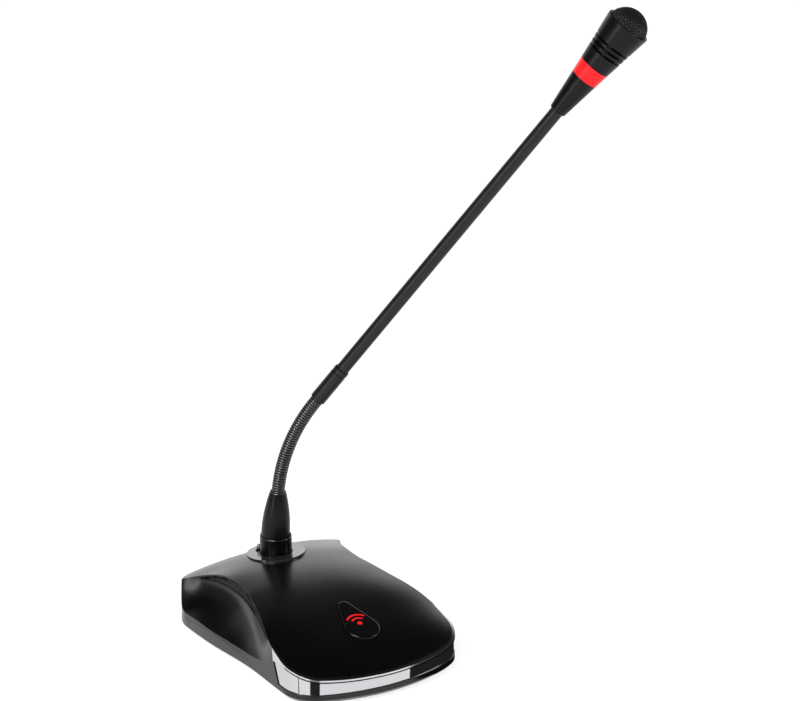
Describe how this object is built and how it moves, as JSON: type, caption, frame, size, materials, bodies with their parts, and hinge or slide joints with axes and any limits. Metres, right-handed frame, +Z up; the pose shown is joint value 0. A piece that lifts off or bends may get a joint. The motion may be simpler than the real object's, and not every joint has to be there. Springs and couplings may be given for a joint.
{
  "type": "gooseneck desk microphone",
  "caption": "Gooseneck conference microphone on a sculpted desk base, with a talk button, a flexible jointed neck, a slim stem and a flared head with a light ring.",
  "frame": {"origin": "on the desk, under the middle of the base, in the plane the rubber feet stand on", "axes": "+Z up, +Y towards the rear of the base where the stem stands, -Y towards the talker, +X to the talker's right when facing the base's rear"},
  "size_m": [0.255, 0.1701, 0.4044],
  "materials": {
    "casing": "satin black",
    "tray": "satin black",
    "gloss_trim": "polished black",
    "bright_line": "bright",
    "side_grille": "perforated, satin black",
    "collar": "satin black",
    "socket_plastic": "black",
    "contact_metal": "plated",
    "steel": "plain",
    "button_plastic": "black",
    "symbol": "red",
    "switch": "black",
    "board": "green lacquer",
    "brass": "turned",
    "ballast": "dark",
    "speaker": "black",
    "rubber": "black",
    "latch_plastic": "black",
    "plug_metal": "satin black",
    "boot_rubber": "black",
    "flex_metal": "black",
    "tube_metal": "satin black",
    "cable": "black",
    "head_plastic": "satin black",
    "light_ring": "translucent red",
    "led": "clear",
    "grille_metal": "black wire mesh",
    "foam": "black foam",
    "capsule_metal": "plain"
  },
  "bodies": {
    "base": {"bottom_shell": "tray", "top_cover": "casing", "front_trim": "gloss_trim", "trim_strip": "bright_line", "grille_left": "side_grille", "grille_right": "side_grille", "collar_disc": "collar", "stem_socket": "socket_plastic", "socket_insert": "socket_plastic", "socket_contacts": "contact_metal", "socket_screws": "steel", "button_guide": "socket_plastic", "tact_switch": "switch", "switch_board": "board", "ballast_plate": "ballast", "main_board": "board", "board_standoffs": "brass", "board_screws": "steel", "board_parts": "switch", "speaker_left": "speaker", "speaker_right": "speaker", "speaker_brackets": "steel", "rear_outlet": "rubber", "rubber_feet": "rubber", "case_screws": "steel", "latch_spring": "steel"},
    "button": {"talk_button": "button_plastic", "button_symbol": "symbol", "switch_plunger": "switch"},
    "latch": {"release_latch": "latch_plastic"},
    "plug": {"plug_barrel": "plug_metal", "plug_insulator": "socket_plastic", "plug_pins": "contact_metal", "plug_boot": "boot_rubber", "flex_base": "flex_metal"},
    "flex_1": {"flex_link_1": "flex_metal"},
    "flex_2": {"flex_link_2": "flex_metal"},
    "flex_3": {"flex_link_3": "flex_metal"},
    "flex_4": {"flex_link_4": "flex_metal"},
    "flex_5": {"flex_link_5": "flex_metal"},
    "flex_6": {"flex_link_6": "flex_metal"},
    "flex_7": {"flex_link_7": "flex_metal"},
    "stem": {"flex_link_8": "flex_metal", "ferrule": "tube_metal", "stem_tube": "tube_metal", "stem_cable": "cable", "head_lower_cone": "head_plastic", "light_ring": "light_ring", "led_board": "board", "ring_leds": "led", "head_upper_cone": "head_plastic", "grille_rim": "grille_metal", "grille_dome": "grille_metal", "windscreen_foam": "foam", "capsule": "capsule_metal", "capsule_holder": "rubber"}
  },
  "joints": [
    {"name": "talk_button_press", "type": "slide", "parent": "base", "child": "button", "axis": [0, 0.2727, -0.9621], "range_m": [0, 0.0009], "stiffness_N_per_m": 1500},
    {"name": "latch_press", "type": "slide", "parent": "base", "child": "latch", "axis": [0, 0, -1], "range_m": [0, 0.002], "stiffness_N_per_m": 400, "deforming": ["latch_spring"]},
    {"name": "plug_lift", "type": "slide", "parent": "base", "child": "plug", "axis": [0, 0, 1], "range_m": [0, 0.02]},
    {"name": "flex_bend_1", "type": "hinge", "parent": "plug", "child": "flex_1", "pos_m": [0.00164, 0.05588, 0.08696], "axis": [0.565, 0.8251, 0], "range_deg": [-15, 11.25]},
    {"name": "flex_sway_1", "type": "hinge", "parent": "flex_1", "child": "flex_2", "pos_m": [0.00272, 0.05514, 0.09545], "axis": [0.8111, -0.5554, -0.1836], "range_deg": [-12.5, 12.5]},
    {"name": "flex_bend_2", "type": "hinge", "parent": "flex_2", "child": "flex_3", "pos_m": [0.00424, 0.0541, 0.10383], "axis": [0.565, 0.8251, 0], "range_deg": [-15, 11.25]},
    {"name": "flex_sway_2", "type": "hinge", "parent": "flex_3", "child": "flex_4", "pos_m": [0.00627, 0.05271, 0.11206], "axis": [0.7814, -0.535, -0.3213], "range_deg": [-12.5, 12.5]},
    {"name": "flex_bend_3", "type": "hinge", "parent": "flex_4", "child": "flex_5", "pos_m": [0.00879, 0.05098, 0.12008], "axis": [0.565, 0.8251, 0], "range_deg": [-15, 11.25]},
    {"name": "flex_sway_3", "type": "hinge", "parent": "flex_5", "child": "flex_6", "pos_m": [0.01179, 0.04893, 0.12786], "axis": [0.7341, -0.5026, -0.4566], "range_deg": [-12.5, 12.5]},
    {"name": "flex_bend_4", "type": "hinge", "parent": "flex_6", "child": "flex_7", "pos_m": [0.01526, 0.04655, 0.13535], "axis": [0.565, 0.8251, 0], "range_deg": [-15, 11.25]},
    {"name": "flex_sway_4", "type": "hinge", "parent": "flex_7", "child": "stem", "pos_m": [0.01911, 0.04391, 0.14256], "axis": [0.6797, -0.4654, -0.567], "range_deg": [-12.5, 12.5]}
  ],
  "couplings": [
    {"joint": "flex_bend_2", "follows": "flex_bend_1", "ratio": 1},
    {"joint": "flex_sway_2", "follows": "flex_sway_1", "ratio": 1},
    {"joint": "flex_bend_3", "follows": "flex_bend_1", "ratio": 1},
    {"joint": "flex_sway_3", "follows": "flex_sway_1", "ratio": 1},
    {"joint": "flex_bend_4", "follows": "flex_bend_1", "ratio": 1},
    {"joint": "flex_sway_4", "follows": "flex_sway_1", "ratio": 1}
  ]
}
